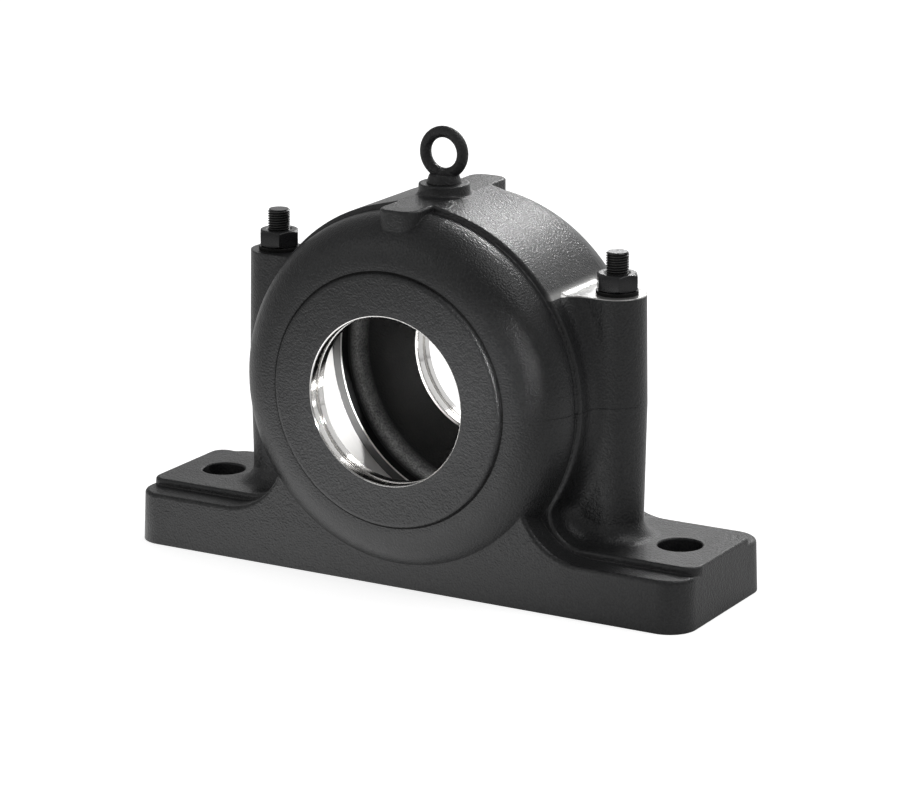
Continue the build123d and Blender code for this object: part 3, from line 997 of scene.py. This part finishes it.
# %% Whole studs
stud_chamfer = 0.0012
thread_overlap = 0.0003
thread_end = thread_start + thread_overlap
stud_turn_left = math.radians(140)
stud_blank = turned_bar([
    (stud_radius - stud_chamfer, stud_low.z),
    (stud_radius, stud_low.z + stud_chamfer),
    (stud_radius, stud_high.z - stud_chamfer),
    (stud_radius - stud_chamfer, stud_high.z),
], sides=80)
cut_with(thread, stud_blank, "INTERSECT")
shank = turned_bar([
    (stud_radius - stud_chamfer, stud_low.z),
    (stud_radius, stud_low.z + stud_chamfer),
    (stud_radius, thread_end),
    (root_radius, thread_end + thread_depth),
], sides=80)
cut_with(thread, shank, "UNION")
settle(thread, "stud_blank", smooth_angle=35)
stud_right = twin(thread, "stud_right", stud_x)
stud_left = twin(thread, "stud_left", -stud_x, stud_turn_left)
bpy.data.objects.remove(thread)
print("stud faces:", len(stud_right.data.polygons))

# %% [markdown]
# ## The lifting eye
# The eye is forged in one heat: ring, neck and collar flow into each other. Separate primitives
# would meet in hard lines, so a torus and a turned collar are merged into one skin by a voxel
# remesh with cells of a third of a millimetre. A few rounds of smoothing then melt the joint
# the way a forging die does.

# %% Shank and collar of the eye
eye_low, eye_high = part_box("eye_bolt")
eye_seat = cap_high.z
eye_shank_radius = 0.005
eye_shank_chamfer = 0.001
collar_radius = (eye_high.y - eye_low.y) / 2
collar_height = 0.007
collar_top = eye_seat + collar_height
collar_lift = 0.00002
collar_slope = 0.0018
collar_round_width = 0.0012
collar_round_drop = 0.0010
collar_round_middle = (0.0005, 0.0003)
neck_foot = (0.0088, 0.0001)
neck_waist = (0.0066, 0.0012)
neck_top = (0.0052, 0.0036)
collar_rim = collar_radius - collar_slope
eye = turned_bar([
    (eye_shank_radius - eye_shank_chamfer, eye_low.z),
    (eye_shank_radius, eye_low.z + eye_shank_chamfer),
    (eye_shank_radius, eye_seat),
    (collar_radius, eye_seat + collar_lift),
    (collar_rim, collar_top - collar_round_drop),
    (collar_rim - collar_round_middle[0], collar_top - collar_round_middle[1]),
    (collar_rim - collar_round_width, collar_top),
    *[(radius, collar_top + rise) for radius, rise in (neck_foot, neck_waist, neck_top)],
], sides=96)
print("collar top at", round(collar_top, 4))

# %% Ring of the eye
ring_outer = (eye_high.x - eye_low.x) / 2
wire_radius = 0.0046
ring_radius = ring_outer - wire_radius
ring_height = eye_high.z - ring_outer
cell_size = 0.00034
melting_rounds = 5
bpy.ops.object.select_all(action="DESELECT")
bpy.ops.mesh.primitive_torus_add(
    major_radius=ring_radius, minor_radius=wire_radius, major_segments=128, minor_segments=40,
    location=(0, 0, ring_height), rotation=(math.radians(90), 0, 0))
eye.select_set(True)
bpy.context.view_layer.objects.active = eye
bpy.ops.object.join()
finish_modifier(eye, "REMESH", mode="VOXEL", voxel_size=cell_size, use_smooth_shade=True)
finish_modifier(eye, "SMOOTH", factor=0.5, iterations=melting_rounds)
settle(eye, "lifting_eye", smooth_angle=60)
print("lifting eye faces:", len(eye.data.polygons))

# %% [markdown]
# ## Blackened fasteners
# Studs, nuts and washers are blackened steel: a thin oxide with a trace of oil, about as dark as
# the paint and a little glossier. Rubbed corners show steel through the oxide. The roots of the
# thread get painted shade: they are black and dull, while the crests are rubbed a little
# brighter. This group finds both by the distance from the stud's own line.

# %% Thread roots and crests
root_starts = 0.0003
root_depth_share = 0.6
crest_starts = 0.00025
crest_fade = 0.0002
stud_spare = 0.00002
thread_shade, shade_in, shade_out = new_group(
    "thread_shade", [("Vector", "vector")], [("Root", "value"), ("Crest", "value")])
spot = split_place(thread_shade, shade_in["Vector"])
off_stud = math_node(thread_shade, "ABSOLUTE", spot["X"])
off_stud = math_node(thread_shade, "SUBTRACT", off_stud, stud_x)
from_axis = distance_node(thread_shade, off_stud, spot["Y"])
below_end = within(thread_shade, spot["Z"], stud_high.z - stud_chamfer)
root = fade_out(thread_shade, from_axis, crest_radius - root_starts,
                thread_depth * root_depth_share)
thread_shade.links.new(both(thread_shade, root, below_end), shade_out["Root"])
crest = fade_in(thread_shade, from_axis, crest_radius - crest_starts, crest_fade)
on_stud = within(thread_shade, from_axis, stud_radius + stud_spare)
thread_shade.links.new(both(thread_shade, crest, on_stud), shade_out["Crest"])
print("group:", thread_shade.name)

# %% [markdown]
# The washers lie in the shade of their nuts, so everything below the height of a nut's foot gets
# painted shade: black, and dull too.

# %% Blackened steel
thin_oxide = (0.010, 0.010, 0.011, 1)
thick_oxide = (0.022, 0.022, 0.023, 1)
# painted shade: near-black for the washers under the nuts and for the thread roots
painted_shade_black = (0.0015, 0.0015, 0.0015, 1)
rubbed_crest = (0.075, 0.074, 0.072, 1)
bright_corner = (0.11, 0.108, 0.105, 1)
oiled_roughness = 0.20
dry_roughness = 0.34
root_roughness = 0.8
shaded_roughness = 0.85
oxide_metal = 0.15
corner_metal = 0.7
steel_grain_depth = 0.00006
steel_grain_strength = 0.5
blackened_steel, tree, shader, place = new_material("blackened_steel")
shade = use_group(tree, thread_shade, place)
grain = use_group(tree, sand_grain, place, Grain_Scale=1500, Wave_Scale=160, Wave_Share=0.6)
wear = use_group(tree, edge_wear, place, Amount=0.8)
# painted shade falls on everything below a nut's foot
shaded_under_nut = within(tree, split_place(tree, place)["Z"], column_top + washer_thickness)
oxide = blend_colour(tree, grain["Tone"], thin_oxide, thick_oxide)
# painted shade: black under the nuts and in the thread roots
oxide = blend_colour(tree, shaded_under_nut, oxide, painted_shade_black)
oxide = blend_colour(tree, shade["Root"], oxide, painted_shade_black)
oxide = blend_colour(tree, shade["Crest"], oxide, rubbed_crest)
colour = blend_colour(tree, wear["Mask"], oxide, bright_corner)
tree.links.new(colour, shader.inputs["Base Color"])
steel_gloss = blend_value(tree, grain["Tone"], oiled_roughness, dry_roughness)
steel_gloss = blend_value(tree, shade["Root"], steel_gloss, root_roughness)
steel_gloss = blend_value(tree, shaded_under_nut, steel_gloss, shaded_roughness)
tree.links.new(steel_gloss, shader.inputs["Roughness"])
steel_metal = blend_value(tree, wear["Mask"], oxide_metal, corner_metal)
tree.links.new(steel_metal, shader.inputs["Metallic"])
steel_bumps = bump(tree, grain["Height"], steel_grain_depth, steel_grain_strength)
tree.links.new(steel_bumps, shader.inputs["Normal"])
print("material:", blackened_steel.name)

# %% [markdown]
# The eye is painted by itself, over the scale of the forge. Its waves are shorter than a
# casting's and its bumps a little deeper, and the coat is duller.

# %% Painted eye
thin_eye_paint = (0.009, 0.009, 0.0095, 1)
thick_eye_paint = (0.018, 0.018, 0.019, 1)
rubbed_eye = (0.06, 0.06, 0.06, 1)
smooth_eye = 0.33
rough_eye = 0.48
scale_depth = 0.0009
eye_paint, tree, shader, place = new_material("eye_paint")
grain = use_group(tree, sand_grain, place, Grain_Scale=620, Wave_Scale=120, Wave_Share=1.0)
wear = use_group(tree, edge_wear, place, Amount=0.4)
coat = blend_colour(tree, grain["Tone"], thin_eye_paint, thick_eye_paint)
colour = blend_colour(tree, wear["Mask"], coat, rubbed_eye)
tree.links.new(colour, shader.inputs["Base Color"])
eye_gloss = blend_value(tree, grain["Tone"], smooth_eye, rough_eye)
tree.links.new(eye_gloss, shader.inputs["Roughness"])
tree.links.new(bump(tree, grain["Height"], scale_depth, 1.0), shader.inputs["Normal"])
print("material:", eye_paint.name)

# %% [markdown]
# Two dowels line the cap up with the base. They are ground to size and left bare, so they are
# all metal, with a fine grain. They are hidden once the housing is closed.

# %% Ground steel for the dowels
dull_steel = (0.50, 0.50, 0.49, 1)
bright_steel = (0.64, 0.63, 0.62, 1)
smooth_steel = 0.2
rough_steel = 0.34
ground_steel, tree, shader, place = new_material("ground_dowel_steel")
grain = use_group(tree, sand_grain, place, Grain_Scale=2600, Wave_Scale=300, Wave_Share=0.4)
colour = blend_colour(tree, grain["Tone"], dull_steel, bright_steel)
tree.links.new(colour, shader.inputs["Base Color"])
steel_gloss = blend_value(tree, grain["Height"], smooth_steel, rough_steel)
tree.links.new(steel_gloss, shader.inputs["Roughness"])
shader.inputs["Metallic"].default_value = 1.0
for name in ("dowel_pin_right", "dowel_pin_left"):
    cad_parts[name].data.materials[0] = ground_steel
print("material:", ground_steel.name)

# %% [markdown]
# ## Joining the pieces to the housing
# Every new piece rides on the block's one body and stands for its CAD node, which is hidden. Each
# also takes its material.

# %% Ride, replace and finish
fitted = [
    (stud_right, "cap_stud_right", blackened_steel, "black_steel"),
    (stud_left, "cap_stud_left", blackened_steel, "black_steel"),
    (washer_right, "cap_washer_right", blackened_steel, "black_steel"),
    (washer_left, "cap_washer_left", blackened_steel, "black_steel"),
    (nut_right, "cap_nut_right", blackened_steel, "black_steel"),
    (nut_left, "cap_nut_left", blackened_steel, "black_steel"),
    (eye, "eye_bolt", eye_paint, "painted_eye"),
]
for piece, node, material, finish in fitted:
    piece.data.materials.clear()
    piece.data.materials.append(material)
    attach(piece, "root")
    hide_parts(node)
print("pieces:", [piece.name for piece, _, _, _ in fitted])
